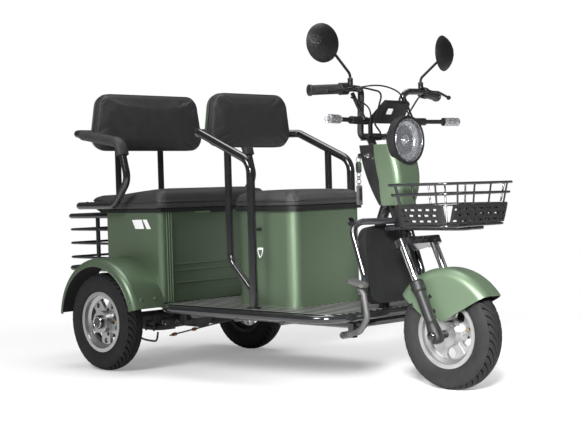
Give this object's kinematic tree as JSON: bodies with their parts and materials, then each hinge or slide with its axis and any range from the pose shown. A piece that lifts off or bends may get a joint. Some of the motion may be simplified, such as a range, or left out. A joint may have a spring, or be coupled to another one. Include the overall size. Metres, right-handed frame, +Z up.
{
  "type": "electric tricycle",
  "caption": "Passenger electric tricycle with a driver's seat, rear bench, wire basket, steered front fork and a low ribbed deck on tubular frames.",
  "frame": {"origin": "middle of the overall box at floor level", "axes": "+Z up, -Y forward along the vehicle, +X to the rider's left"},
  "size_m": [0.861, 1.95, 1.206],
  "materials": {
    "green_paint": "satin metallic sage green",
    "black_tube": "gloss black",
    "deck_alloy": "ribbed, brushed",
    "tyre": "matt",
    "cast_alloy": "satin cast",
    "black_hide": "black leatherette",
    "black_plastic": "fine grained black",
    "chrome": "polished",
    "clear_lens": "clear",
    "red_lens": "clear red",
    "grey_cast": "rough cast grey",
    "steel": "plain",
    "battery_case": "plain"
  },
  "bodies": {
    "frame": {"chassis": "black_tube", "deck_edge": "black_tube", "neck_frame": "black_tube", "deck": "deck_alloy", "seat_box": "green_paint", "seat_guard": "black_tube", "front_backrest_pad": "black_hide", "front_backrest_shell": "green_paint", "rear_body": "green_paint", "battery_pack": "battery_case", "rear_backrest_pad": "black_hide", "rear_backrest_shell": "green_paint", "rear_seat_frame": "black_tube", "armrest_pads": "black_hide", "rear_rack": "black_tube", "rear_fenders": "green_paint", "tail_lamps": "red_lens", "rear_axle": "steel", "rear_springs": "steel", "leg_shield": "black_plastic", "leg_guards": "black_tube", "cowl": "green_paint", "cowl_cover": "black_plastic", "headlamp_shell": "chrome", "headlamp_lens": "clear_lens", "basket_frame": "black_tube", "basket_panels": "black_plastic", "basket_carrier": "black_tube", "brake_pedal": "grey_cast"},
    "steering": {"fork_yoke": "black_tube", "fork_stanchions": "chrome", "fork_sliders": "black_tube", "front_fender": "green_paint", "handlebar": "black_tube", "grips": "black_plastic", "hand_controls": "black_plastic", "cables": "black_plastic", "mirrors": "black_plastic", "turn_signals": "clear_lens", "dash": "black_plastic"},
    "front_wheel": {"front_tyre": "tyre", "front_rim": "cast_alloy"},
    "rear_wheel_right": {"rear_tyre_right": "tyre", "rear_rim_right": "cast_alloy"},
    "rear_wheel_left": {"rear_tyre_left": "tyre", "rear_rim_left": "cast_alloy"},
    "front_seat_lid": {"front_seat_base": "black_plastic", "front_seat_cushion": "black_hide"},
    "rear_bench_lid": {"rear_bench_base": "black_plastic", "rear_bench_cushion": "black_hide"}
  },
  "joints": [
    {"name": "steering_turn", "type": "hinge", "parent": "frame", "child": "steering", "pos_m": [0, -0.61353, 0.49284], "axis": [0, 0.4067, 0.9135], "range_deg": [-35, 35]},
    {"name": "front_wheel_spin", "type": "hinge", "parent": "steering", "child": "front_wheel", "pos_m": [0, -0.79, 0.185], "axis": [1, 0, 0], "continuous": true},
    {"name": "rear_wheel_right_spin", "type": "hinge", "parent": "frame", "child": "rear_wheel_right", "pos_m": [-0.3745, 0.572, 0.185], "axis": [1, 0, 0], "continuous": true},
    {"name": "rear_wheel_left_spin", "type": "hinge", "parent": "frame", "child": "rear_wheel_left", "pos_m": [0.3745, 0.572, 0.185], "axis": [1, 0, 0], "continuous": true},
    {"name": "front_seat_tilt", "type": "hinge", "parent": "frame", "child": "front_seat_lid", "pos_m": [0, 0.06, 0.592], "axis": [-1, 0, 0], "range_deg": [0, 75]},
    {"name": "rear_bench_tilt", "type": "hinge", "parent": "frame", "child": "rear_bench_lid", "pos_m": [0, 0.34, 0.593], "axis": [1, 0, 0], "range_deg": [0, 65]}
  ]
}
